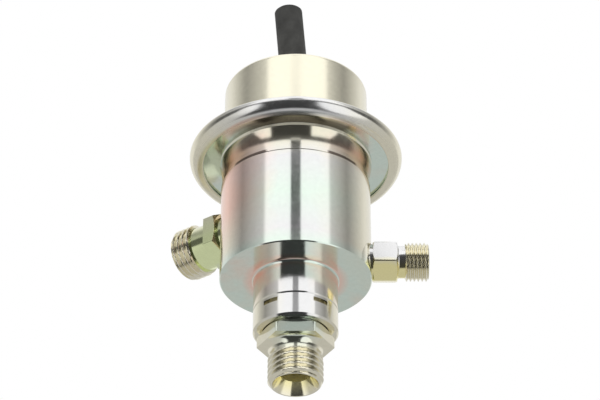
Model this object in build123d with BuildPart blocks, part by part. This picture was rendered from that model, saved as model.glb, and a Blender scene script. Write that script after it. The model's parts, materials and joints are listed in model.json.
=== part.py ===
from build123d import *
import math
import os

os.makedirs("parts", exist_ok=True)

# A diaphragm fuel pressure regulator. Sizes are in millimetres.
# The axis is +Z, with the spring cap and its hose on top and the return fitting at the bottom.
# The origin is on the axis, in the middle of the plain neck that a bracket clamps.
# The +X fitting leads to the fuel distributor, and the inlet fitting stands behind on the -X side.

# Main body, turned from bar
body_radius = 19.5
body_bottom = 4.5
body_height = 27.9
body_edge = 0.25
seam_edge = 0.2
neck_radius = 10.8
neck_bottom = -4.92
neck_fillet = 0.8
neck_edge = 0.25
seam = body_bottom + body_height

# Chambers inside the body
fit_gap = 0.02
upper_chamber_radius = 15.5
lower_chamber_radius = 8.5
partition_bottom = 14.0
partition_top = 19.0
guide_bore_radius = 5.72
retainer_recess_radius = 6.6
retainer_thickness = 0.7
spigot_radius = 16.5
spigot_height = 1.5

# Flange ring brazed on the body at the seam
waist_radius = 19.25
collar_radius = 19.96
collar_height = 7.0
collar_step = 0.9
plate_radius = 26.8
plate_thickness = 1.4
plate_edge = 0.4
collar_lip = seam + collar_height
plate_bottom = collar_lip + collar_step
plate_top = plate_bottom + plate_thickness

# Spring cap, deep drawn, with its rim rolled under the plate
sheet = 0.9
cap_radius = 19.0
cap_height = 20.5
cap_top_fillet = 1.5
cap_root_fillet = 1.5
bead_radius = 28.0
bead_top_fillet = 1.6
bead_bottom_fillet = 1.2
lip_inner_radius = 24.4
lip_gap = 0.2
lip_edge = 0.4
diaphragm_thickness = 0.6
diaphragm_radius = 26.35
diaphragm_top = plate_top + diaphragm_thickness
bead_top = diaphragm_top + sheet
cap_top = bead_top + cap_height

# Vent nipple and its short hose, which leans a little towards -X
hose_lean = 4.3
hose_radius = 3.8
hose_bore = 1.75
hose_length = 28.0
hose_lift = 0.35
nipple_radius = 2.0
nipple_bore = 1.2
nipple_reach = 12.0
nipple_foot_radius = 4.5
nipple_hole = 2.6
barb_radius = 2.3
barb_start = 10.0

# Diaphragm centre, which carries the valve plate on a ball
rivet_radius = 3.0
rivet_flange_radius = 6.4
rivet_flange_height = 2.0
rivet_head_radius = 4.6
rivet_head_height = 1.0
support_radius = 11.0
support_thickness = 1.1
cup_radius = 11.9
cup_sheet = 1.0
cup_height = 4.0
convolution_inner = 12.35
convolution_outer = 15.65
convolution_rise = 1.0
ball_radius = 1.5
plate_pocket_radius = 5.0
plate_pocket_depth = 1.3
valve_plate_radius = 4.75
valve_face_radius = 3.6
clip_inner_radius = 3.9
clip_thickness = 0.3
valve_face = 38.4

# Valve body, a hollow stem that slides in the guide bush
stem_radius = 4.0
stem_bore = 1.6
seat_radius = 2.5
seat_cone = 1.0
bush_bore = 4.05
bush_length = 2.55
foot_radius = 7.6
foot_bottom = 4.5
foot_thickness = 1.7
foot_spigot_radius = 4.4
foot_spigot_height = 1.2
seal_inner_radius = 6.3
seal_outer_radius = 7.5
seal_thickness = 0.9

# Stop ring over the valve body's foot
valve_lift = 0.5
ring_thickness = 0.8
ring_inner_radius = 6.6
ring_outer_radius = 9.25
ring_gap_angle = 40
ring_bottom = foot_bottom + foot_thickness + valve_lift + 0.05

# Springs
control_wire = 1.4
control_coil = 9.3
control_turns = 4.4
counter_wire = 0.35
counter_coil = 5.15
counter_turns = 4.0

# Adjusting screw, with the seat that the valve body's seal closes on
screw_radius = 8.42
screw_bottom = -1.0
screw_floor = 1.2
screw_bore = 2.5
spring_pocket_radius = 6.0
seat_ring_outer = 7.3
seat_ring_inner = 6.5
seat_ring_height = 0.4
driver_slot = 1.2

# O-rings of the screw and the sleeve share one groove
groove_radius = 7.3
groove_width = 1.4
ring_section = 0.57

# Adjuster sleeve under the neck, staked in five places
sleeve_radius = 10.8
sleeve_height = 6.37
sleeve_bore = 6.0
sleeve_spigot_top = -1.2
sleeve_edge = 0.45
sleeve_bottom = neck_bottom - sleeve_height
stake_count = 5
stake_width_angle = 23
stake_height = 1.2
stake_depth = 1.6
stake_drop = 0.9
washer_radius = 8.0
washer_thickness = 0.25

# Fittings, along each one's own axis
return_thread = 7.0
inlet_thread = 7.0
inlet_height = 25.5
inlet_azimuth = 144
inlet_port_radius = 5.0
distributor_thread = 5.0
distributor_height = 10.3
distributor_port_radius = 4.0
distributor_passage = 2.6
distributor_port_depth = 12.0
hex_chamfer_angle = 30
cone_half_angle = 30


def turn(points, seat=Plane.XY, mode=Mode.ADD, rounds=None):
    """Revolve a closed section of (radius, height) points about the seat plane's normal.

    rounds gives the fillet radius of each section point that is rounded.
    """
    section = Plane(origin=seat.origin, x_dir=seat.x_dir, z_dir=seat.x_dir.cross(seat.z_dir))
    with BuildSketch(section) as profile:
        with BuildLine():
            Polyline(*points, close=True)
        make_face()
        for (radius, height), size in (rounds or {}).items():
            corner = profile.vertices().sort_by_distance((radius, height, 0))[0]
            fillet(corner, size)
    revolve(profile.sketch, axis=Axis(seat.origin, seat.z_dir), mode=mode)


def turn_ring(inner, outer, bottom, top, seat=Plane.XY, mode=Mode.ADD):
    """Revolve a plain rectangular section: a washer, a sleeve or, from radius 0, a disc."""
    turn([(inner, bottom), (outer, bottom), (outer, top), (inner, top)], seat, mode)


def rim(piece, radius, height):
    """The round edges of a turned piece at one radius and height."""
    rings = piece.edges().filter_by(GeomType.CIRCLE)
    rings = rings.filter_by(lambda edge: abs(edge.radius - radius) < 0.01)
    return rings.filter_by(lambda edge: abs(edge.arc_center.Z - height) < 0.01)


def o_ring(section, outer_radius, height):
    """A round rubber ring whose outside has the given radius."""
    with BuildPart() as ring:
        with BuildSketch(Plane.XZ):
            with Locations((outer_radius - section, height)):
                Circle(section)
        revolve(axis=Axis.Z)
    return ring


def coil_spring(wire, coil, turns, bottom, top):
    """An open coil with both ends ground flat, standing between two heights."""
    rise = (top - bottom) / turns
    with BuildPart() as spring:
        with BuildLine() as path:
            Helix(rise, top - bottom, coil, center=(0, 0, bottom))
        with BuildSketch(Plane(origin=path.line @ 0, z_dir=path.line % 0)):
            Circle(wire)
        sweep(path=path.line, is_frenet=True)
        turn_ring(0, coil + 2 * wire, bottom, top, mode=Mode.INTERSECT)
    return spring


def fitting(seat, shank, root, hexagon, relief, flare, thread, bore, hex_turn=0, outer_bevel=False):
    """A union stud: shank in the body, round root, hexagon, relief groove, thread, cone and bore.

    shank, root, relief and thread are (radius, start, end) along the seat plane's normal,
    hexagon is (across flats, start, end), and bore is (radius, cone mouth radius).
    flare is the fillet between hexagon and relief. The hexagon is bevelled at its inner end.
    """
    flats, hex_start, hex_end = hexagon
    corner = flats / 2 / math.cos(math.radians(30))
    bevel = (corner - flats / 2) * math.tan(math.radians(hex_chamfer_angle))
    relief_radius, relief_start, relief_end = relief
    core_radius = flats / 2 - 0.05
    thread_radius, thread_start, thread_end = thread
    run_in = 0.35
    end_chamfer = thread_radius * 0.11
    bore_radius, mouth_radius = bore
    cone_depth = (mouth_radius - bore_radius) / math.tan(math.radians(cone_half_angle))
    with BuildPart() as stud:
        with BuildSketch(seat.offset(hex_start)):
            RegularPolygon(flats / 2, 6, major_radius=False, rotation=hex_turn)
        extrude(amount=hex_end - hex_start)
        outer = [(corner, hex_end - bevel), (flats / 2, hex_end)] if outer_bevel else [(corner, hex_end)]
        turn([(0, hex_start), (flats / 2, hex_start), (corner, hex_start + bevel), *outer, (0, hex_end)],
             seat, Mode.INTERSECT)
        turn_ring(0, *root, seat)
        turn([(0, hex_start + bevel), (core_radius, hex_start + bevel), (core_radius, relief_start),
              (relief_radius, relief_start), (relief_radius, relief_end), (0, relief_end)],
             seat, rounds={(relief_radius, relief_start): flare})
        turn([(0, thread_start), (thread_radius - run_in, thread_start),
              (thread_radius, thread_start + run_in), (thread_radius, thread_end - end_chamfer),
              (thread_radius - end_chamfer, thread_end), (0, thread_end)], seat)
        turn_ring(0, *shank, seat)
        turn([(0, shank[1]), (bore_radius, shank[1]), (bore_radius, thread_end - cone_depth),
              (mouth_radius, thread_end), (0, thread_end)], seat, Mode.SUBTRACT)
    return stud


def radial_plane(azimuth, height):
    """A plane on the axis whose normal points outwards at this azimuth."""
    angle = math.radians(azimuth)
    outward = (math.cos(angle), math.sin(angle), 0)
    return Plane(origin=(0, 0, height), x_dir=(0, 0, 1), z_dir=outward)


inlet_seat = radial_plane(inlet_azimuth, inlet_height)
distributor_seat = radial_plane(0, distributor_height)
return_seat = Plane(origin=(0, 0, 0), x_dir=(1, 0, 0), z_dir=(0, 0, -1))
lean = math.radians(hose_lean)
hose_seat = Plane(origin=(0, 0, cap_top), x_dir=(math.cos(lean), 0, math.sin(lean)),
                  z_dir=(-math.sin(lean), 0, math.cos(lean)))

inlet_spot_radius = 6.3
inlet_spot_depth = math.sqrt(body_radius ** 2 - inlet_spot_radius ** 2) - 0.1
distributor_spot_radius = 4.8
distributor_spot_depth = math.sqrt(body_radius ** 2 - distributor_spot_radius ** 2) - 0.1

# Housing: the turned body and its neck, with the partition and both side ports
with BuildPart() as housing:
    turn([(0, neck_bottom), (neck_radius, neck_bottom), (neck_radius, body_bottom),
          (body_radius, body_bottom), (body_radius, seam), (0, seam)])
    fillet(rim(housing, neck_radius, body_bottom), neck_fillet)
    chamfer(rim(housing, body_radius, body_bottom), body_edge)
    chamfer(rim(housing, body_radius, seam), seam_edge)
    chamfer(rim(housing, neck_radius, neck_bottom), neck_edge)
    turn_ring(0, upper_chamber_radius, partition_top, seam, mode=Mode.SUBTRACT)
    turn_ring(0, spigot_radius, seam - spigot_height, seam, mode=Mode.SUBTRACT)
    turn_ring(0, retainer_recess_radius, partition_top - retainer_thickness, partition_top,
              mode=Mode.SUBTRACT)
    turn_ring(0, guide_bore_radius, partition_bottom, partition_top, mode=Mode.SUBTRACT)
    turn_ring(0, lower_chamber_radius, neck_bottom, partition_bottom, mode=Mode.SUBTRACT)
    turn_ring(0, ring_outer_radius + 0.05, ring_bottom - 0.03, ring_bottom + ring_thickness + 0.03,
              mode=Mode.SUBTRACT)
    turn_ring(0, inlet_spot_radius, inlet_spot_depth, body_radius + 1, inlet_seat, Mode.SUBTRACT)
    turn_ring(0, inlet_port_radius, upper_chamber_radius - 3, body_radius, inlet_seat, Mode.SUBTRACT)
    turn_ring(0, distributor_spot_radius, distributor_spot_depth, body_radius + 1,
              distributor_seat, Mode.SUBTRACT)
    turn_ring(0, distributor_port_radius, distributor_port_depth, body_radius,
              distributor_seat, Mode.SUBTRACT)
    turn_ring(0, distributor_passage, lower_chamber_radius - 2, distributor_port_depth + 1,
              distributor_seat, Mode.SUBTRACT)

# Flange ring: the waisted collar and the plate that the cap is rolled round
with BuildPart() as flange_ring:
    waist_middle = seam + 0.3 * collar_height
    with BuildSketch(Plane.XZ):
        with BuildLine():
            Polyline((upper_chamber_radius, plate_top), (upper_chamber_radius, seam - spigot_height + 0.05),
                     (spigot_radius - fit_gap, seam - spigot_height + 0.05),
                     (spigot_radius - fit_gap, seam), (body_radius - seam_edge, seam),
                     (waist_radius, seam + seam_edge))
            Spline((waist_radius, seam + seam_edge), (waist_radius, waist_middle),
                   (collar_radius, collar_lip), tangents=((0, 1), (0.3, 1)))
            Polyline((collar_radius, collar_lip), (collar_radius, plate_bottom),
                     (plate_radius - plate_edge, plate_bottom), (plate_radius, plate_bottom + plate_edge),
                     (plate_radius, plate_top), (upper_chamber_radius, plate_top))
        make_face()
    revolve(axis=Axis.Z)

# Spring cap: one drawn sheet with a flat top, a flange and the rolled lip
with BuildPart() as spring_cap:
    cap_inside = cap_radius - sheet
    bead_inside = bead_radius - sheet
    lip_top = plate_bottom - lip_gap
    lip_bottom = lip_top - sheet
    turn([(nipple_hole, cap_top), (cap_radius, cap_top), (cap_radius, bead_top),
          (bead_radius, bead_top), (bead_radius, lip_bottom), (lip_inner_radius, lip_bottom),
          (lip_inner_radius, lip_top), (bead_inside, lip_top), (bead_inside, diaphragm_top),
          (cap_inside, diaphragm_top), (cap_inside, cap_top - sheet), (nipple_hole, cap_top - sheet)],
         rounds={(cap_radius, cap_top): cap_top_fillet,
                 (cap_inside, cap_top - sheet): cap_top_fillet - sheet,
                 (cap_radius, bead_top): cap_root_fillet,
                 (cap_inside, diaphragm_top): cap_root_fillet + sheet,
                 (bead_radius, bead_top): bead_top_fillet,
                 (bead_inside, diaphragm_top): bead_top_fillet - sheet,
                 (bead_radius, lip_bottom): bead_bottom_fillet,
                 (bead_inside, lip_top): bead_bottom_fillet - sheet,
                 (lip_inner_radius, lip_bottom): lip_edge,
                 (lip_inner_radius, lip_top): lip_edge})

# Vent nipple: a foot under the cap's top, a spigot through it and a leaning tube with a barb
with BuildPart() as vent_nipple:
    foot_top = cap_top - sheet
    turn_ring(0, nipple_foot_radius, foot_top - sheet, foot_top)
    turn_ring(0, nipple_hole - fit_gap, foot_top, cap_top)
    turn([(0, -1), (nipple_radius, -1), (nipple_radius, barb_start), (barb_radius, barb_start),
          (barb_radius, barb_start + 0.4), (nipple_radius - 0.3, nipple_reach), (0, nipple_reach)],
         hose_seat)
    turn_ring(0, nipple_bore, foot_top - sheet, cap_top, mode=Mode.SUBTRACT)
    turn_ring(0, nipple_bore, -0.5, nipple_reach, hose_seat, Mode.SUBTRACT)

# Vent hose: a short straight rubber tube, stretched over the nipple and its barb
with BuildPart() as vent_hose:
    barb_pocket_end = nipple_reach + 0.3
    rounding = 0.25
    turn([(nipple_radius + fit_gap, hose_lift), (hose_radius - rounding, hose_lift),
          (hose_radius, hose_lift + rounding), (hose_radius, hose_length - rounding),
          (hose_radius - rounding, hose_length), (hose_bore, hose_length),
          (hose_bore, barb_pocket_end), (barb_radius + fit_gap, barb_pocket_end - 0.4),
          (barb_radius + fit_gap, barb_start - 0.2), (nipple_radius + fit_gap, barb_start - 0.2)],
         hose_seat)

# Diaphragm: a rubber-coated disc with one shallow convolution, clamped round its edge
with BuildPart() as diaphragm:
    convolution_middle = (convolution_inner + convolution_outer) / 2
    hole = rivet_radius + fit_gap
    with BuildSketch(Plane.XZ):
        with BuildLine():
            Line((hole, plate_top), (convolution_inner, plate_top))
            ThreePointArc((convolution_inner, plate_top),
                          (convolution_middle, plate_top + convolution_rise),
                          (convolution_outer, plate_top))
            Polyline((convolution_outer, plate_top), (diaphragm_radius, plate_top),
                     (diaphragm_radius, diaphragm_top), (convolution_outer, diaphragm_top))
            ThreePointArc((convolution_outer, diaphragm_top),
                          (convolution_middle, diaphragm_top + convolution_rise),
                          (convolution_inner, diaphragm_top))
            Polyline((convolution_inner, diaphragm_top), (hole, diaphragm_top), (hole, plate_top))
        make_face()
    revolve(axis=Axis.Z)

# Support disc under the diaphragm
with BuildPart() as diaphragm_support:
    turn_ring(rivet_radius + fit_gap, support_radius, plate_top - support_thickness, plate_top)
    fillet(rim(diaphragm_support, support_radius, plate_top), 0.4)

# Spring cup on top of the diaphragm
with BuildPart() as spring_cup:
    cup_floor = diaphragm_top + cup_sheet
    turn([(rivet_radius + fit_gap, diaphragm_top), (cup_radius, diaphragm_top),
          (cup_radius, diaphragm_top + cup_height), (cup_radius - cup_sheet, diaphragm_top + cup_height),
          (cup_radius - cup_sheet, cup_floor), (rivet_radius + fit_gap, cup_floor)])
    fillet(rim(spring_cup, cup_radius, diaphragm_top), 0.9)

# Rivet that clamps the cup, the diaphragm and the support disc, with the valve plate's pocket
with BuildPart() as diaphragm_rivet:
    flange_top = plate_top - support_thickness
    flange_bottom = flange_top - rivet_flange_height
    pocket_top = flange_bottom + plate_pocket_depth
    ball_height = valve_face + 2.22
    turn_ring(0, rivet_flange_radius, flange_bottom, flange_top)
    turn_ring(0, rivet_radius, flange_top, cup_floor)
    turn_ring(0, rivet_head_radius, cup_floor, cup_floor + rivet_head_height)
    fillet(rim(diaphragm_rivet, rivet_head_radius, cup_floor + rivet_head_height), 0.5)
    turn_ring(0, plate_pocket_radius, flange_bottom, pocket_top, mode=Mode.SUBTRACT)
    turn_ring(0, ball_radius + 0.05, pocket_top, ball_height + ball_radius + 0.1, mode=Mode.SUBTRACT)

# Ball that lets the valve plate lie flat on its seat
with BuildPart() as valve_ball:
    with Locations((0, 0, ball_height)):
        Sphere(ball_radius)

# Valve plate, with its ball dimple above and its sealing face below
with BuildPart() as valve_plate:
    clip_top = flange_bottom + clip_thickness
    turn_ring(0, valve_face_radius, valve_face, clip_top + 0.05)
    turn_ring(0, valve_plate_radius, clip_top + 0.05, pocket_top - 0.05)
    with Locations((0, 0, ball_height)):
        Sphere(ball_radius + fit_gap, mode=Mode.SUBTRACT)

# Thin clip that keeps the valve plate in the rivet
with BuildPart() as plate_clip:
    turn_ring(clip_inner_radius, plate_pocket_radius - fit_gap, flange_bottom, clip_top)

# Upper spring seat, a hat-shaped pressing under the cap's top
with BuildPart() as spring_seat:
    seat_bottom = cap_top - sheet - 4.2
    seat_top = cap_top - sheet
    hat_radius = 7.4
    turn([(hat_radius - sheet, seat_bottom), (cup_radius, seat_bottom), (cup_radius, seat_bottom + sheet),
          (hat_radius, seat_bottom + sheet), (hat_radius, seat_top), (nipple_foot_radius + 0.2, seat_top),
          (nipple_foot_radius + 0.2, seat_top - sheet), (hat_radius - sheet, seat_top - sheet)])
    fillet(rim(spring_seat, hat_radius, seat_top), 0.8)

control_spring = coil_spring(control_wire, control_coil, control_turns, cup_floor, seat_bottom)

# Valve body: seat on top, hollow stem, and a foot that carries the seal
with BuildPart() as valve_body:
    foot_top = foot_bottom + foot_thickness
    spigot_bottom = foot_bottom - foot_spigot_height
    turn([(stem_bore, spigot_bottom), (foot_spigot_radius, spigot_bottom),
          (foot_spigot_radius, foot_bottom), (foot_radius, foot_bottom), (foot_radius, foot_top),
          (stem_radius, foot_top), (stem_radius, valve_face - seat_cone), (seat_radius, valve_face),
          (stem_bore, valve_face)])
    chamfer(rim(valve_body, foot_radius, foot_top), 0.3)

# Seal under the valve body's foot
with BuildPart() as valve_seal:
    turn_ring(seal_inner_radius, seal_outer_radius, foot_bottom - seal_thickness, foot_bottom)

# Guide bush, stem seal and the retainer over it, all in the partition
with BuildPart() as guide_bush:
    turn_ring(bush_bore, guide_bore_radius - fit_gap, partition_bottom, partition_bottom + bush_length)
    chamfer(rim(guide_bush, bush_bore, partition_bottom), 0.3)

seal_space = partition_top - retainer_thickness - partition_bottom - bush_length
stem_seal_section = (guide_bore_radius - bush_bore) / 2 - fit_gap
stem_seal = o_ring(stem_seal_section, guide_bore_radius - fit_gap,
                   partition_bottom + bush_length + seal_space / 2)

with BuildPart() as seal_retainer:
    turn_ring(bush_bore + 0.1, retainer_recess_radius - fit_gap,
              partition_top - retainer_thickness, partition_top)

# Snap ring that stops the valve body's lift
with BuildPart() as stop_ring:
    turn_ring(ring_inner_radius, ring_outer_radius, ring_bottom, ring_bottom + ring_thickness)
    gap_reach = ring_outer_radius * 2
    gap_half = math.tan(math.radians(ring_gap_angle / 2)) * gap_reach
    with BuildSketch(Plane.XY.offset(ring_bottom)):
        Polygon((0, 0), (gap_reach, -gap_half), (gap_reach, gap_half), align=None)
    extrude(amount=ring_thickness, mode=Mode.SUBTRACT)

# Adjusting screw: seat ring on top, pocket for the counterspring, driver slot below
with BuildPart() as adjusting_screw:
    seat_height = foot_bottom - seal_thickness
    rim_height = seat_height - seat_ring_height
    pocket_floor = screw_bottom + screw_floor
    groove_bottom = (rim_height + pocket_floor - groove_width) / 2
    turn([(screw_bore, screw_bottom), (screw_radius, screw_bottom), (screw_radius, groove_bottom),
          (groove_radius, groove_bottom), (groove_radius, groove_bottom + groove_width),
          (screw_radius, groove_bottom + groove_width), (screw_radius, rim_height),
          (seat_ring_outer, rim_height), (seat_ring_outer, seat_height), (seat_ring_inner, seat_height),
          (spring_pocket_radius, rim_height), (spring_pocket_radius, pocket_floor),
          (screw_bore, pocket_floor)])
    chamfer(rim(adjusting_screw, screw_radius, screw_bottom), 0.4)
    with BuildSketch(Plane.XY.offset(screw_bottom)):
        Rectangle(3 * screw_radius, driver_slot)
    extrude(amount=0.7, mode=Mode.SUBTRACT)

screw_o_ring = o_ring(ring_section, lower_chamber_radius - fit_gap, groove_bottom + groove_width / 2)
counterspring = coil_spring(counter_wire, counter_coil, counter_turns, pocket_floor, foot_bottom)

# Adjuster sleeve: the lower band, its spigot in the neck and the five staking slots
with BuildPart() as adjuster_sleeve:
    spigot_groove = (neck_bottom + sleeve_spigot_top - groove_width) / 2
    turn([(sleeve_bore, sleeve_bottom), (sleeve_radius, sleeve_bottom), (sleeve_radius, neck_bottom),
          (screw_radius, neck_bottom), (screw_radius, spigot_groove), (groove_radius, spigot_groove),
          (groove_radius, spigot_groove + groove_width), (screw_radius, spigot_groove + groove_width),
          (screw_radius, sleeve_spigot_top), (sleeve_bore, sleeve_spigot_top)])
    chamfer(rim(adjuster_sleeve, sleeve_radius, sleeve_bottom), sleeve_edge)
    chamfer(rim(adjuster_sleeve, sleeve_radius, neck_bottom), neck_edge)
    stake_floor = sleeve_radius - stake_depth
    stake_half = math.tan(math.radians(stake_width_angle / 2)) * 2 * sleeve_radius
    with BuildSketch(Plane.XY.offset(neck_bottom - stake_drop)):
        with PolarLocations(0, stake_count, start_angle=90):
            Polygon((0, 0), (2 * sleeve_radius, -stake_half), (2 * sleeve_radius, stake_half), align=None)
        Circle(stake_floor, mode=Mode.SUBTRACT)
    extrude(amount=-stake_height, mode=Mode.SUBTRACT)

sleeve_o_ring = o_ring(ring_section, lower_chamber_radius - fit_gap, spigot_groove + groove_width / 2)

# Sealing washer between the sleeve and the return fitting
with BuildPart() as sealing_washer:
    turn_ring(sleeve_bore + 0.05, washer_radius, sleeve_bottom - washer_thickness, sleeve_bottom)

# Return fitting, M14 x 1.5 with a 17 mm hexagon, pointing down
hex_top = washer_thickness - sleeve_bottom
return_fitting = fitting(
    return_seat, shank=(sleeve_bore - fit_gap, 6.5, hex_top), root=(washer_radius, hex_top, hex_top + 0.3),
    hexagon=(17.0, hex_top + 0.05, 15.0), relief=(6.1, 15.0, 18.1), flare=2.0,
    thread=(return_thread, 18.1, 25.55), bore=(4.0, 5.8))

# Inlet fitting, M14 x 1.5 with a 14 mm hexagon, behind on the left
inlet_fitting = fitting(
    inlet_seat, shank=(inlet_port_radius - fit_gap, 15.8, inlet_spot_depth),
    root=(inlet_spot_radius - 0.1, inlet_spot_depth, 21.7), hexagon=(14.0, 21.5, 25.2),
    relief=(6.0, 25.2, 30.5), flare=0.6, thread=(inlet_thread, 30.5, 36.6), bore=(4.0, 5.8))

# Fuel distributor fitting, M10 x 1 with a 10 mm hexagon, on the right
distributor_fitting = fitting(
    distributor_seat, shank=(distributor_port_radius - fit_gap, distributor_port_depth + 0.1,
                             distributor_spot_depth),
    root=(distributor_spot_radius - 0.1, distributor_spot_depth, 19.9), hexagon=(10.0, 19.7, 26.0),
    relief=(4.15, 26.0, 28.0), flare=0.5, thread=(distributor_thread, 28.0, 34.05), bore=(2.2, 3.6),
    hex_turn=-3.5, outer_bevel=True)

pieces = {
    "housing": housing,
    "flange_ring": flange_ring,
    "spring_cap": spring_cap,
    "vent_nipple": vent_nipple,
    "vent_hose": vent_hose,
    "diaphragm": diaphragm,
    "diaphragm_support": diaphragm_support,
    "spring_cup": spring_cup,
    "diaphragm_rivet": diaphragm_rivet,
    "valve_ball": valve_ball,
    "valve_plate": valve_plate,
    "plate_clip": plate_clip,
    "spring_seat": spring_seat,
    "control_spring": control_spring,
    "valve_body": valve_body,
    "valve_seal": valve_seal,
    "guide_bush": guide_bush,
    "stem_seal": stem_seal,
    "seal_retainer": seal_retainer,
    "stop_ring": stop_ring,
    "adjusting_screw": adjusting_screw,
    "screw_o_ring": screw_o_ring,
    "counterspring": counterspring,
    "adjuster_sleeve": adjuster_sleeve,
    "sleeve_o_ring": sleeve_o_ring,
    "sealing_washer": sealing_washer,
    "return_fitting": return_fitting,
    "inlet_fitting": inlet_fitting,
    "distributor_fitting": distributor_fitting,
}
for name, piece in pieces.items():
    piece.part.label = name
    export_step(piece.part, f"parts/{name}.step")
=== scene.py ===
import json
import math

import bpy
from mathutils import Matrix, Vector


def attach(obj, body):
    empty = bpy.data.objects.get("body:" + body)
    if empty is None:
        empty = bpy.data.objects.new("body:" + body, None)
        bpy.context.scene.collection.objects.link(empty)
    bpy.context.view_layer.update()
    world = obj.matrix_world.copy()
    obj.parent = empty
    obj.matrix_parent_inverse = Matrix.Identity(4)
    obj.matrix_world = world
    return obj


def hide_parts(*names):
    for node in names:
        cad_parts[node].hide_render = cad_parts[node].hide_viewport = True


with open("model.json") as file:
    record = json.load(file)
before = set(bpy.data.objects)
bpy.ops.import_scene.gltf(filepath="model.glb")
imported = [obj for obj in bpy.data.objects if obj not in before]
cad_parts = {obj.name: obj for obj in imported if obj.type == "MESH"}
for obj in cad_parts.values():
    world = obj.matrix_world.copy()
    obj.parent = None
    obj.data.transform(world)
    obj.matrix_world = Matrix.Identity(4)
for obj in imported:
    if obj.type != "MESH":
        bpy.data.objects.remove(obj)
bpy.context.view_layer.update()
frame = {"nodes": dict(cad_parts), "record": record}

# Sizes are written in millimetres and turned into metres by this factor
MM = 0.001

# The camera: what it looks at, its angle below the part in degrees, its distance and its lens
CAMERA_TARGET = (1.11, 0.0, 29.48)
CAMERA_RISE = 33.56
CAMERA_REACH = 600.0
CAMERA_LENS = 137.8

# The tent that the metal mirrors: brightness at azimuths in degrees, 0 towards the camera
PANEL, SLIT, BESIDE, SHADE, BACK = 1.18, 0.10, 0.65, 0.30, 0.90
WALLS = [
    (-180, BACK), (-130, 0.80), (-90, SHADE), (-50, BESIDE), (-46, PANEL), (-9, PANEL), (-7, SLIT),
    (7, SLIT), (9, PANEL), (51, PANEL), (55, BESIDE), (85, SHADE), (130, 0.80), (180, BACK),
]
SKIRT = [(-130, 0.80), (-85, 0.10), (85, 0.10), (130, 0.80)]
GROUND = [(-110, 0.55), (-75, 0.55), (-45, 1.05), (70, 1.05), (80, 0.55), (110, 0.55)]
ROOF, NADIR, GAP = 1.1, 0.56, 0.05
# Elevations in degrees over which each part turns into the next
ROOF_EDGE = (58, 70)
WALL_FOOT = (21.5, 24.5)
SKIRT_HEM = (10, 14)
NADIR_EDGE = (-72, -56)
GAP_FOOT = (-69, -77)
# The hem hangs lower by this many degrees past these azimuths
HEM_DROP, HEM_SIDES = 17.0, (50, 62)
# The gap in the ground, in parts of the unit direction: its middle, its sides and its far edge
GAP_MIDDLE, GAP_SIDES, GAP_BACK = -0.10, (0.45, 0.49), (0.0, 0.1)

FLOOR_PAPER = (0.86, 0.86, 0.85, 1.0)


# Shader nodes

def grey(value):
    return (value, value, value)


def greys(stops):
    """Stops of plain brightness as stops of colour."""
    return [(position, grey(value)) for position, value in stops]


class Graph:
    """A short way to write shader nodes: each call adds a node and links what it is given."""

    def __init__(self, tree):
        self.nodes = tree.nodes
        self.links = tree.links

    def node(self, kind, settings=None, **inputs):
        made = self.nodes.new(kind)
        for name, value in (settings or {}).items():
            setattr(made, name, value)
        for name, value in inputs.items():
            self.put(made, name.replace("_", " "), value)
        return made

    def put(self, node, socket, value):
        target = node.inputs[socket]
        if isinstance(value, bpy.types.NodeSocket):
            self.links.new(value, target)
        else:
            target.default_value = value

    def math(self, operation, *values):
        made = self.nodes.new("ShaderNodeMath")
        made.operation = operation
        for index, value in enumerate(values):
            self.put(made, index, value)
        return made.outputs[0]

    def vector_math(self, operation, *values):
        made = self.nodes.new("ShaderNodeVectorMath")
        made.operation = operation
        for index, value in enumerate(values):
            self.put(made, index, value)
        return made.outputs[0]

    def in_mm(self, value):
        return self.math("DIVIDE", value, MM)

    def share(self, value, start, end):
        """How far a value is from start to end, kept between 0 and 1."""
        made = self.node("ShaderNodeMapRange", Value=value)
        self.put(made, "From Min", start)
        self.put(made, "From Max", end)
        return made.outputs["Result"]

    def window(self, value, low, high, soft):
        """1 from low to high, and down to 0 over a soft stretch on either side."""
        rise = self.share(value, low - soft, low)
        fall = self.share(value, high + soft, high)
        return self.math("MULTIPLY", rise, fall)

    def noise(self, place, scale, detail):
        return self.node("ShaderNodeTexNoise", Vector=place, Scale=scale, Detail=detail).outputs["Fac"]

    def ramp(self, factor, stops):
        made = self.nodes.new("ShaderNodeValToRGB")
        elements = made.color_ramp.elements
        while len(elements) < len(stops):
            elements.new(0.5)
        for element, (position, colour) in zip(elements, stops):
            element.position = position
            element.color = (*colour, 1.0)
        self.put(made, "Fac", factor)
        return made.outputs["Color"]

    def around(self, azimuth, stops):
        """A ramp over the azimuth in degrees, from -180 to 180."""
        place = self.math("ADD", self.math("DIVIDE", azimuth, 360.0), 0.5)
        return self.ramp(place, [(0.5 + degrees / 360.0, colour) for degrees, colour in stops])

    def azimuth(self, parts):
        """Degrees round the axis, 0 towards -Y and positive towards +X."""
        turn = self.math("ARCTAN2", parts["X"], self.math("MULTIPLY", parts["Y"], -1.0))
        return self.math("DEGREES", turn)

    def lean(self, height, stops):
        """The surface normal, leaning down by degrees that depend on the height in mm."""
        low, high = stops[0][0], stops[-1][0]
        slopes = [((at - low) / (high - low), math.tan(math.radians(degrees))) for at, degrees in stops]
        slope = self.ramp(self.share(height, low, high), greys(slopes))
        drop = self.node("ShaderNodeCombineXYZ", Z=self.math("MULTIPLY", slope, -1.0)).outputs[0]
        normal = self.node("ShaderNodeNewGeometry").outputs["Normal"]
        return self.vector_math("NORMALIZE", self.vector_math("ADD", normal, drop))

    def blend(self, factor, first, second, mode="MIX"):
        made = self.nodes.new("ShaderNodeMix")
        made.data_type = "RGBA"
        made.blend_type = mode
        self.put(made, 0, factor)
        self.put(made, 6, first)
        self.put(made, 7, second)
        return made.outputs[2]


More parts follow.
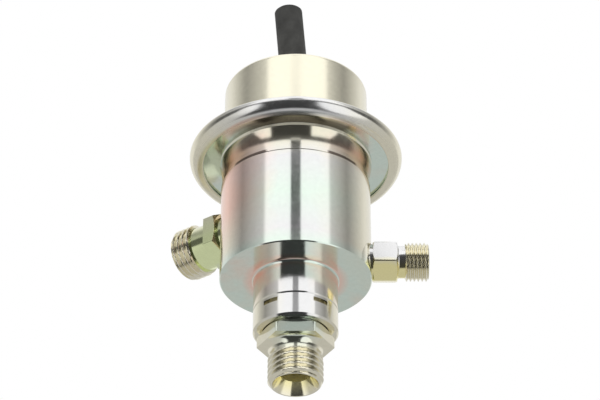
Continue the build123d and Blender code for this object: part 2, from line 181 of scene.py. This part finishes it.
def new_material(name):
    """A material, the graph of its nodes and its shader."""
    material = bpy.data.materials.new(name)
    material.use_nodes = True
    graph = Graph(material.node_tree)
    return material, graph, graph.nodes["Principled BSDF"]


# Scene: camera, surroundings and floor

def add_camera():
    """The photograph's view: a long lens below the part, looking up at it and along +Y."""
    rise = math.radians(CAMERA_RISE)
    away = Vector((0.0, -math.cos(rise), -math.sin(rise)))
    data = bpy.data.cameras.new("camera")
    data.lens = CAMERA_LENS
    data.sensor_width = 36.0
    data.sensor_fit = "HORIZONTAL"
    data.clip_start = 0.01
    data.clip_end = 50.0
    camera = bpy.data.objects.new("camera", data)
    camera.location = Vector(CAMERA_TARGET) * MM + away * (CAMERA_REACH * MM)
    camera.rotation_euler = (-away).to_track_quat("-Z", "Y").to_euler()
    bpy.context.scene.collection.objects.link(camera)
    bpy.context.scene.camera = camera
    bpy.context.scene.view_settings.view_transform = "Standard"


def add_surroundings():
    """A light tent for the metal to mirror, on a white ground that the camera and all else see.

    From the top down: a roof, walls with two white panels and a slit between them, a dark skirt under
    them, and paler ground with the tripod's gap, which stands a little to the left.
    """
    world = bpy.data.worlds.new("tent")
    bpy.context.scene.world = world
    world.use_nodes = True
    graph = Graph(world.node_tree)
    graph.nodes.clear()
    direction = graph.node("ShaderNodeTexCoord").outputs["Generated"]
    parts = graph.node("ShaderNodeSeparateXYZ", Vector=direction).outputs
    azimuth = graph.azimuth(parts)
    elevation = graph.math("DEGREES", graph.math("ARCSINE", parts["Z"]))

    ground = graph.around(azimuth, greys(GROUND))
    skirt = graph.around(azimuth, greys(SKIRT))
    walls = graph.around(azimuth, greys(WALLS))
    sideways = graph.math("ABSOLUTE", graph.math("ADD", parts["X"], -GAP_MIDDLE))
    beside = graph.math("MAXIMUM", graph.share(sideways, *GAP_SIDES), graph.share(parts["Y"], *GAP_BACK))
    clear = graph.math("MAXIMUM", beside, graph.share(elevation, *GAP_FOOT))
    aside = graph.share(graph.math("ABSOLUTE", azimuth), *HEM_SIDES)
    over_hem = graph.math("ADD", elevation, graph.math("MULTIPLY", aside, HEM_DROP))

    tent = graph.blend(graph.share(elevation, *NADIR_EDGE), (*grey(NADIR), 1.0), ground)
    tent = graph.blend(clear, (*grey(GAP), 1.0), tent)
    tent = graph.blend(graph.share(over_hem, *SKIRT_HEM), tent, skirt)
    tent = graph.blend(graph.share(elevation, *WALL_FOOT), tent, walls)
    tent = graph.blend(graph.share(elevation, *ROOF_EDGE), tent, (*grey(ROOF), 1.0))
    tent_light = graph.node("ShaderNodeBackground", Color=tent, Strength=1.0)
    white = graph.node("ShaderNodeBackground", Color=(1.0, 1.0, 1.0, 1.0), Strength=1.0)
    mixed = graph.node("ShaderNodeMixShader")
    graph.put(mixed, 0, graph.node("ShaderNodeLightPath").outputs["Is Glossy Ray"])
    graph.put(mixed, 1, white.outputs[0])
    graph.put(mixed, 2, tent_light.outputs[0])
    output = graph.node("ShaderNodeOutputWorld")
    graph.put(output, "Surface", mixed.outputs[0])


def plane(name, corners, material):
    mesh = bpy.data.meshes.new(name)
    mesh.from_pydata([Vector(corner) * MM for corner in corners], [], [(0, 1, 2, 3)])
    mesh.materials.append(material)
    piece = bpy.data.objects.new(name, mesh)
    bpy.context.scene.collection.objects.link(piece)
    return piece


def add_floor():
    """A plain pale floor, far enough below that the camera looks up over it."""
    material, graph, shader = new_material("floor_paper")
    graph.put(shader, "Base Color", FLOOR_PAPER)
    graph.put(shader, "Roughness", 0.9)
    size, level = 6000, -450
    floor = plane("floor", [(-size, -size, level), (size, -size, level), (size, size, level),
                            (-size, size, level)], material)
    floor.visible_glossy = False


def add_cards():
    """Near edges of the tent's panels, which only the metal mirrors: they leave the gap in front."""
    gap, outer, distance = 31.5, 90, 250
    low_foot, foot, gap_bottom, gap_top, top = 109, 138, 149, 205, 440
    for name, left, right, low, high, brightness in (
            ("left_card", -outer, -gap, foot, top, PANEL),
            ("right_card", gap, outer, foot, top, PANEL),
            ("low_card", -gap, gap, low_foot, gap_bottom, 0.48),
            ("top_card", -gap, gap, gap_top, top, 1.08)):
        material, graph, _ = new_material(name + "_paper")
        graph.nodes.clear()
        light = graph.node("ShaderNodeEmission", Strength=brightness)
        graph.put(graph.node("ShaderNodeOutputMaterial"), "Surface", light.outputs[0])
        card = plane(name, [(left, -distance, low), (right, -distance, low), (right, -distance, high),
                            (left, -distance, high)], material)
        card.visible_camera = False
        card.visible_diffuse = False
        card.visible_shadow = False
        card.visible_transmission = False


# Materials

# Plain hues of the film: the red and the green against the mean of the three
CLEAR = (1.00, 1.00)
STRAW = (1.10, 1.05)
GOLD = (1.25, 1.15)
LIME = (1.10, 1.20)
ROSE = (1.35, 0.90)
GREEN = (0.95, 1.08)

# Azimuths in degrees where the fields to the sides are full, and up to which the one in front is
SIDE, FRONT = 60, 15


def even(hue):
    """The same hue behind, to the left, in front and to the right."""
    return (hue, hue, hue, hue)


# Fields of film at heights in mm: behind, to the left, in front and to the right
BODY_FILM = [
    (-5.0, STRAW, STRAW, CLEAR, STRAW),
    (2.5, STRAW, ROSE, CLEAR, ROSE),
    (4.6, *even(GREEN)),
    (8.5, STRAW, STRAW, CLEAR, STRAW),
    (20.0, STRAW, ROSE, GREEN, STRAW),
    (30.0, STRAW, ROSE, CLEAR, STRAW),
    (36.5, STRAW, ROSE, STRAW, ROSE),
    (40.2, GREEN, GREEN, STRAW, GREEN),
]
CAP_FILM = [
    (43.0, STRAW, STRAW, CLEAR, STRAW),
    (47.0, *even(STRAW)),
]
FITTING_FILM = [
    (-26.0, *even(STRAW)),
    (-19.0, *even(STRAW)),
    (-14.0, STRAW, STRAW, GREEN, STRAW),
    (7.0, *even(GOLD)),
    (9.0, *even(CLEAR)),
    (16.5, *even(CLEAR)),
    (18.0, *even(LIME)),
    (24.0, *even(LIME)),
    (31.0, *even(STRAW)),
]
# The fittings' films by point attribute: on a thread, in its grooves and in the bore
THREAD_FILMS = {"threaded": STRAW, "groove": STRAW, "inside": GOLD}
# How much of a bore's surface is dull rather than bright metal
BORE_DULLNESS = 0.25

# How far the collar's wall leans down at heights in mm, on top of its own slope, in degrees
COLLAR_LEAN = [
    (33.6, 0.0), (34.2, 1.8), (34.9, 2.2), (35.4, 3.2), (36.3, 4.8), (37.3, 6.0), (38.3, 7.0),
    (39.35, 7.5), (39.5, 65.0), (40.2, 65.0), (40.25, 0.0),
]

ALL_ROUND = (-1, 180, 1)
# Painted light and shade on the body, laid over its film: low, high and soft edge in height, in radius and
# in azimuth to either side, then the painted colour's red, green and brightness, and how strongly it covers
BODY_PAINTED_LIGHT_AND_SHADE = [
    # Painted shade: a dark ring on the plate round the collar, standing for the collar's reflection in it
    # on the near side
    ((40.25, 42.0, 0.05), (0.0, 22.0, 1.4), (-1, 34, 14), (*ROSE, 0.05), 0.75),
    # Painted highlight: a bright line along the collar's upper edge
    ((39.5, 40.2, 0.05), (19.0, 21.0, 0.1), ALL_ROUND, (*STRAW, 0.90), 0.85),
    # Painted shade: dark stretches on the brazed seam, at either side of the front
    ((32.5, 33.2, 0.15), (18.5, 19.6, 0.1), (27, 50, 3), (*ROSE, 0.08), 0.85),
    # Painted light: a rose glow on the body's underside round the neck
    ((4.4, 4.6, 0.05), (0.0, 11.6, 2.2), ALL_ROUND, (*ROSE, 0.75), 0.75),
    # Painted shade on the floors of the staking slots
    ((-7.05, -5.8, 0.05), (9.0, 10.6, 0.08), ALL_ROUND, (*STRAW, 0.60), 0.95),
]

# The brightest that any of a film's three colours gets
BRIGHTEST = 0.98
# Clouds in the film: scale of the noise, and how far it shifts azimuths in degrees and heights in mm
CLOUD_SCALE, CLOUD_TURN, CLOUD_RISE = 90.0, 30.0, 5.0
# Fine mottle: scale of the noise, its darkest colour, and its least and most roughness
MOTTLE_SCALE, MOTTLE_DARK, MOTTLE_GLOSS = 900.0, 0.95, (0.85, 1.15)
# Most of a noise lies between these
NOISE_LOW, NOISE_HIGH = 0.3, 0.7


def film(red, green, level):
    """The colour of metal under its film, from its red and green against the mean of the three."""
    tint = (red, green, 3.0 - red - green)
    brightness = min(level, BRIGHTEST / max(tint))
    return tuple(share * brightness for share in tint)


def film_rows(graph, rows, azimuth, height, level):
    """The film's colour: a row's fields blend round the axis, and each row into the next."""
    def one_row(behind, left, front, right):
        fields = [(-180, behind), (-SIDE, left), (-FRONT, front), (FRONT, front), (SIDE, right),
                  (180, behind)]
        return graph.around(azimuth, [(degrees, film(*hue, level)) for degrees, hue in fields])

    below, *hues = rows[0]
    colour = one_row(*hues)
    for row_height, *hues in rows[1:]:
        colour = graph.blend(graph.share(height, below, row_height), colour, one_row(*hues))
        below = row_height
    return colour


def add_painted_light_and_shade(graph, painted_light_and_shade, colour, azimuth, height, parts):
    """Rings and patches of painted light and shade, laid over the colour."""
    squares = [graph.math("POWER", graph.in_mm(parts[axis]), 2.0) for axis in "XY"]
    radius = graph.math("SQRT", graph.math("ADD", *squares))
    turned = graph.math("ABSOLUTE", azimuth)
    for heights, radii, azimuths, hue, strength in painted_light_and_shade:
        share = graph.math("MULTIPLY", graph.window(height, *heights), graph.window(radius, *radii))
        share = graph.math("MULTIPLY", share, graph.window(turned, *azimuths))
        colour = graph.blend(graph.math("MULTIPLY", share, strength), colour, (*film(*hue), 1.0))
    return colour


def zinc(name, rows, level, roughness, anisotropy=0.0, threads=None, leaning=None, painted_light_and_shade=(), satin=None):
    """Bright zinc with an iridescent chromate film, whose colour drifts round the axis and along it.

    rows are the film's colours and level is their brightness. threads are the films of a fitting's point
    attributes, leaning makes the surface seem to flare, and satin is a height in mm and the roughness
    under it.
    """
    material, graph, shader = new_material(name)
    place = graph.node("ShaderNodeTexCoord").outputs["Object"]
    parts = graph.node("ShaderNodeSeparateXYZ", Vector=place).outputs
    height = graph.in_mm(parts["Z"])
    drift = graph.math("SUBTRACT", graph.noise(place, CLOUD_SCALE, 3.0), 0.5)
    azimuth = graph.math("ADD", graph.azimuth(parts), graph.math("MULTIPLY", drift, CLOUD_TURN))
    cloudy_height = graph.math("ADD", height, graph.math("MULTIPLY", drift, CLOUD_RISE))

    colour = film_rows(graph, rows, azimuth, cloudy_height, level)
    metallic = 1.0
    for where, hue in (threads or {}).items():
        share = graph.node("ShaderNodeAttribute", {"attribute_name": where}).outputs["Fac"]
        colour = graph.blend(share, colour, (*film(*hue, level), 1.0))
        if where == "inside":
            metallic = graph.math("SUBTRACT", 1.0, graph.math("MULTIPLY", share, BORE_DULLNESS))
    # Painted light and shade, laid over the film's colour
    if painted_light_and_shade:
        colour = add_painted_light_and_shade(graph, painted_light_and_shade, colour, azimuth, height, parts)
    if leaning:
        graph.put(shader, "Normal", graph.lean(height, leaning))
    mottle = graph.noise(place, MOTTLE_SCALE, 3.0)
    shade = graph.ramp(mottle, greys([(NOISE_LOW, MOTTLE_DARK), (NOISE_HIGH, 1.0)]))
    graph.put(shader, "Base Color", graph.blend(1.0, colour, shade, "MULTIPLY"))
    graph.put(shader, "Metallic", metallic)
    least, most = (roughness * share for share in MOTTLE_GLOSS)
    gloss = graph.ramp(mottle, greys([(NOISE_LOW, least), (NOISE_HIGH, most)]))
    if satin:
        satin_top, satin_roughness = satin
        low = graph.share(height, satin_top + 0.5, satin_top)
        gloss = graph.blend(low, gloss, (*grey(satin_roughness), 1.0))
    graph.put(shader, "Roughness", gloss)
    if anisotropy:
        graph.put(shader, "Anisotropic", anisotropy)
        graph.put(shader, "Anisotropic Rotation", 0.25)
        tangent = graph.node("ShaderNodeTangent", {"direction_type": "RADIAL", "axis": "Z"})
        graph.put(shader, "Tangent", tangent.outputs[0])
    return material


def rubber(name, colour, roughness):
    """Matte rubber with a fine grain and a slight dusty unevenness."""
    grain_depth = 0.05
    material, graph, shader = new_material(name)
    place = graph.node("ShaderNodeTexCoord").outputs["Object"]
    dust = graph.noise(place, 260.0, 4.0)
    grain = graph.noise(place, 3500.0, 2.0)
    dark = tuple(c * 0.75 for c in colour)
    light = tuple(c * 1.35 for c in colour)
    graph.put(shader, "Base Color", graph.ramp(dust, [(NOISE_LOW, dark), (NOISE_HIGH, light)]))
    graph.put(shader, "Roughness", roughness)
    graph.put(shader, "Specular IOR Level", 0.25)
    bump = graph.node("ShaderNodeBump", Height=grain, Strength=0.25, Distance=grain_depth * MM)
    graph.put(shader, "Normal", bump.outputs[0])
    return material


def plain_metal(name, colour, roughness):
    """Bare turned metal of the inner pieces, with a fine mottle."""
    material, graph, shader = new_material(name)
    place = graph.node("ShaderNodeTexCoord").outputs["Object"]
    mottle = graph.noise(place, 800.0, 3.0)
    dark = tuple(c * 0.85 for c in colour)
    gloss = graph.ramp(mottle, greys([(NOISE_LOW, roughness), (NOISE_HIGH, roughness * 1.4)]))
    graph.put(shader, "Base Color", graph.ramp(mottle, [(NOISE_LOW, dark), (NOISE_HIGH, colour)]))
    graph.put(shader, "Metallic", 1.0)
    graph.put(shader, "Roughness", gloss)
    return material


def make_materials():
    return {
        # The body's colour carries painted light and shade
        "body_chromate": zinc("body_zinc", BODY_FILM, 0.80, 0.13, anisotropy=0.5,
                              leaning=COLLAR_LEAN, painted_light_and_shade=BODY_PAINTED_LIGHT_AND_SHADE),
        "cap_chromate": zinc("cap_zinc", CAP_FILM, 0.84, 0.18, satin=(39.4, 0.30)),
        "fitting_chromate": zinc("fitting_zinc", FITTING_FILM, 0.82, 0.14, threads=THREAD_FILMS),
        "hose_rubber": rubber("hose_rubber", (0.055, 0.055, 0.052), 0.75),
        "seal_rubber": rubber("seal_rubber", (0.03, 0.03, 0.03), 0.5),
        "diaphragm_rubber": rubber("diaphragm_rubber", (0.08, 0.07, 0.05), 0.7),
        "plain_steel": plain_metal("plain_steel", (0.60, 0.60, 0.58), 0.25),
        "spring_steel": plain_metal("spring_steel", (0.42, 0.42, 0.44), 0.3),
        "bronze": plain_metal("sintered_bronze", (0.68, 0.48, 0.26), 0.4),
        "washer_metal": plain_metal("washer_metal", (0.30, 0.30, 0.28), 0.35),
    }


def dress_nodes(materials):
    """Every CAD node gets the material of its slot."""
    slots = {entry["node"]: entry["material_slot"] for entry in frame["record"]["subparts"]}
    for name, node in frame["nodes"].items():
        node.data.materials.clear()
        node.data.materials.append(materials[slots[name]])


# Pieces that stand for CAD nodes

# Steps round a lathed piece, round a fitting, over a quarter round, over a bevel, over a flare, and along
# one turn of a thread
LATHE_STEPS, FITTING_STEPS = 192, 144
ARC_STEPS, BEVEL_STEPS, FLARE_STEPS, THREAD_STEPS = 12, 12, 8, 20
# Edges that turn by more degrees than this stay sharp
SHARP_TURN = 20


def add_piece(name, points, faces, shares=None):
    """A closed mesh, smooth but for its sharp edges, with shares as its point attributes."""
    mesh = bpy.data.meshes.new(name)
    mesh.from_pydata(points, [], faces)
    for share, values in (shares or {}).items():
        mesh.attributes.new(share, "FLOAT", "POINT").data.foreach_set("value", values)
    mesh.validate()
    piece = bpy.data.objects.new(name, mesh)
    bpy.context.scene.collection.objects.link(piece)
    bpy.context.view_layer.objects.active = piece
    bpy.ops.object.select_all(action="DESELECT")
    piece.select_set(True)
    bpy.ops.object.shade_smooth_by_angle(angle=math.radians(SHARP_TURN))
    return piece


# The spring cap, with a rounder rolled rim than its CAD node has

def rounded(corners):
    """Points of a closed profile whose corners (radius, height, rounding) are rounded off."""
    points = []
    for index, (radius, height, rounding) in enumerate(corners):
        corner = Vector((radius, height))
        if not rounding:
            points.append(corner)
            continue
        before = (Vector(corners[index - 1][:2]) - corner).normalized()
        after = (Vector(corners[(index + 1) % len(corners)][:2]) - corner).normalized()
        centre = corner + (before + after) * rounding
        for k in range(ARC_STEPS + 1):
            turn = math.radians(90 * k / ARC_STEPS)
            points.append(centre - after * rounding * math.cos(turn) - before * rounding * math.sin(turn))
    return points


def lathe(name, profile):
    """The closed profile turned round the Z axis."""
    points = []
    faces = []
    for k in range(LATHE_STEPS):
        angle = 2 * math.pi * k / LATHE_STEPS
        for radius, height in profile:
            points.append(Vector((radius * math.cos(angle), radius * math.sin(angle), height)) * MM)
        start, after = k * len(profile), (k + 1) % LATHE_STEPS * len(profile)
        for row in range(len(profile)):
            beside = (row + 1) % len(profile)
            faces.append((start + row, after + row, after + beside, start + beside))
    return add_piece(name, points, faces)


def add_cap(materials):
    sheet, top, hole = 0.9, 63.7, 2.6
    wall, rim = 19.0, 28.0
    rim_top, lip_bottom, lip_inner = 43.2, 39.2, 24.4
    piece = lathe("spring_cap_rolled", rounded([
        (hole, top, 0), (wall, top, 1.5), (wall, rim_top, 1.5), (rim, rim_top, 1.2),
        (rim, lip_bottom, 2.75), (lip_inner, lip_bottom, 0.4), (lip_inner, lip_bottom + sheet, 0.4),
        (rim - sheet, lip_bottom + sheet, 0.3), (rim - sheet, rim_top - sheet, 0.3),
        (wall - sheet, rim_top - sheet, 2.4), (wall - sheet, top - sheet, 0.6), (hole, top - sheet, 0)]))
    piece.data.materials.append(materials["cap_chromate"])
    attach(piece, "regulator")
    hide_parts("spring_cap")


# Union fittings with real threads

# Rounding of a hexagon's corners in mm, and its bevel in degrees
CORNER_ROUND, HEX_BEVEL = 0.3, 30
# A thread's depth in pitches, and where its flat crest ends and its flat root starts
THREAD_DEPTH, THREAD_CREST, THREAD_ROOT = 0.613, 0.18, 0.875
# A thread's run-in in mm, and its end chamfer against its radius
RUN_IN, END_CHAMFER = 0.35, 0.11
# Half the angle of the cone at a fitting's mouth, in degrees
CONE_HALF_ANGLE = 30


def kept_share(value):
    """A value kept between 0 and 1."""
    return min(max(value, 0.0), 1.0)


def radial_place(azimuth, height):
    """The matrix that turns local +Z outwards at an azimuth round the axis."""
    angle = math.radians(azimuth)
    outward = Vector((math.cos(angle), math.sin(angle), 0.0))
    up = Vector((0.0, 0.0, 1.0))
    side = outward.cross(up)
    turn = Matrix((up, side, outward)).transposed().to_4x4()
    return Matrix.Translation(Vector((0.0, 0.0, height))) @ turn


DOWN_PLACE = Matrix(((1, 0, 0, 0), (0, -1, 0, 0), (0, 0, -1, 0), (0, 0, 0, 1)))

# Each fitting's sizes in mm along its own axis: shank, root, relief and thread are a radius and where they
# start and end, hexagon is its flats and ends, and bore is its radius and the cone's at the mouth
FITTINGS = {
    "return_fitting": {
        "place": DOWN_PLACE, "turn": 0.0, "pitch": 1.5, "start": 0.59, "bore": (4.0, 5.8),
        "shank": (5.98, 6.5, 11.54), "root": (8.0, 11.54), "hexagon": (17.0, 11.59, 15.0),
        "relief": (6.1, 15.0, 18.1), "flare": 2.0, "thread": (7.0, 18.1, 25.55), "outer_bevel": False,
    },
    "inlet_fitting": {
        "place": radial_place(144, 25.5), "turn": 0.0, "pitch": 1.5, "start": 0.34, "bore": (4.0, 5.8),
        "shank": (4.98, 15.8, 18.354), "root": (6.2, 18.354), "hexagon": (14.0, 21.5, 25.2),
        "relief": (6.0, 25.2, 30.5), "flare": 0.6, "thread": (7.0, 30.5, 36.6), "outer_bevel": False,
    },
    "distributor_fitting": {
        "place": radial_place(0, 10.3), "turn": -3.5, "pitch": 1.0, "start": 0.357, "bore": (2.2, 3.6),
        "shank": (3.98, 12.1, 18.8), "root": (4.7, 18.8), "hexagon": (10.0, 19.7, 26.0),
        "relief": (4.15, 26.0, 28.0), "flare": 0.5, "thread": (5.0, 28.0, 34.05), "outer_bevel": True,
    },
}


def hexagon_outline(flats, turn):
    """Angles round a fitting, and the hexagon's radius at each, with lightly rounded corners."""
    corner = flats / 2 / math.cos(math.radians(30))
    centre = corner - CORNER_ROUND / math.sin(math.radians(60))
    outline = []
    for k in range(FITTING_STEPS):
        degrees = 360 * k / FITTING_STEPS
        from_corner = degrees % 60
        if from_corner == 0:
            for lean in (-30, -15, 0, 15, 30):
                x = centre + CORNER_ROUND * math.cos(math.radians(lean))
                y = CORNER_ROUND * math.sin(math.radians(lean))
                outline.append((math.radians(turn + degrees) + math.atan2(y, x), math.hypot(x, y)))
        else:
            radius = flats / 2 / math.cos(math.radians(from_corner - 30))
            outline.append((math.radians(turn + degrees), radius))
    return outline


def thread_radius(angle, height, major, pitch, start):
    """A right-hand 60 degree thread with flat crests and roots."""
    phase = (height / pitch - angle / (2 * math.pi) - start) % 1.0
    from_crest = abs(phase - 0.5) * 2
    share = kept_share((from_crest - THREAD_CREST) / (THREAD_ROOT - THREAD_CREST))
    return major - THREAD_DEPTH * pitch * share


def fitting_rings(sizes, outline):
    """Kinds and rings of (height, radius), from the shank's inner end out to the mouth and back."""
    flats, hex_start, hex_end = sizes["hexagon"]
    major, thread_start, thread_end = sizes["thread"]
    relief, relief_start, relief_end = sizes["relief"]
    flare, pitch = sizes["flare"], sizes["pitch"]
    bore, mouth = sizes["bore"]
    rings = []

    def ring(height, radii, kind="plain"):
        rings.append((kind, [(height, radius) for radius in radii]))

    def plain(height, radius, kind="plain"):
        ring(height, [radius] * len(outline), kind)

    plain(sizes["shank"][1], bore, "inside")
    for radius, start, end in (sizes["shank"], (*sizes["root"], hex_start)):
        plain(start, radius)
        plain(end, radius)

    bevel_slope = math.tan(math.radians(HEX_BEVEL))
    bevel = (flats / 2 / math.cos(math.radians(30)) - flats / 2) * bevel_slope
    hex_heights = [hex_start + bevel * k / BEVEL_STEPS for k in range(BEVEL_STEPS + 1)]
    if sizes["outer_bevel"]:
        hex_heights += [hex_end - bevel * k / BEVEL_STEPS for k in range(BEVEL_STEPS, -1, -1)]
    else:
        hex_heights.append(hex_end)
    for height in hex_heights:
        from_end = height - hex_start
        if sizes["outer_bevel"]:
            from_end = min(from_end, hex_end - height)
        cone = flats / 2 + from_end / bevel_slope
        ring(height, [min(radius, cone) for angle, radius in outline])

    for k in range(FLARE_STEPS + 1):
        lean = math.radians(90 * k / FLARE_STEPS)
        plain(relief_start + flare * (1 - math.cos(lean)), relief + flare * (1 - math.sin(lean)))
    plain(relief_end, relief)

    thread_rings = round((thread_end - thread_start) / pitch * THREAD_STEPS)
    for k in range(thread_rings + 1):
        height = thread_start + (thread_end - thread_start) * k / thread_rings
        limit = min(major - RUN_IN + (height - thread_start),
                    major - major * END_CHAMFER + (thread_end - height))
        ring(height, [min(thread_radius(angle, height, major, pitch, sizes["start"]), limit)
                      for angle, radius in outline], "threaded")

    cone_depth = (mouth - bore) / math.tan(math.radians(CONE_HALF_ANGLE))
    plain(thread_end, mouth)
    plain(thread_end - cone_depth, bore, "inside")
    return rings


def fitting_piece(name, sizes):
    """One closed mesh: shank, root, hexagon, relief, helical thread, end face, cone and bore."""
    outline = hexagon_outline(sizes["hexagon"][0], sizes["turn"])
    rings = fitting_rings(sizes, outline)
    major = sizes["thread"][0]
    depth = THREAD_DEPTH * sizes["pitch"]
    points = []
    shares = {"threaded": [], "groove": [], "inside": []}
    for kind, ring in rings:
        for (angle, _), (height, radius) in zip(outline, ring):
            local = Vector((radius * math.cos(angle), radius * math.sin(angle), height))
            points.append(sizes["place"] @ local * MM)
            threaded = float(kind == "threaded")
            shares["threaded"].append(threaded)
            shares["groove"].append(threaded * kept_share((major - radius) / depth))
            shares["inside"].append(float(kind == "inside"))
    steps = len(outline)
    faces = []
    for row in range(len(rings)):
        after = (row + 1) % len(rings)
        for k in range(steps):
            beside = (k + 1) % steps
            faces.append((row * steps + k, row * steps + beside, after * steps + beside, after * steps + k))
    return add_piece(name, points, faces, shares)


def add_fittings(materials):
    """The threaded fittings stand for their plain CAD nodes."""
    for node, sizes in FITTINGS.items():
        piece = fitting_piece(node + "_threaded", sizes)
        piece.data.materials.append(materials["fitting_chromate"])
        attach(piece, "regulator")
        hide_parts(node)


add_camera()
add_surroundings()
add_floor()
add_cards()
materials = make_materials()
dress_nodes(materials)
add_cap(materials)
add_fittings(materials)
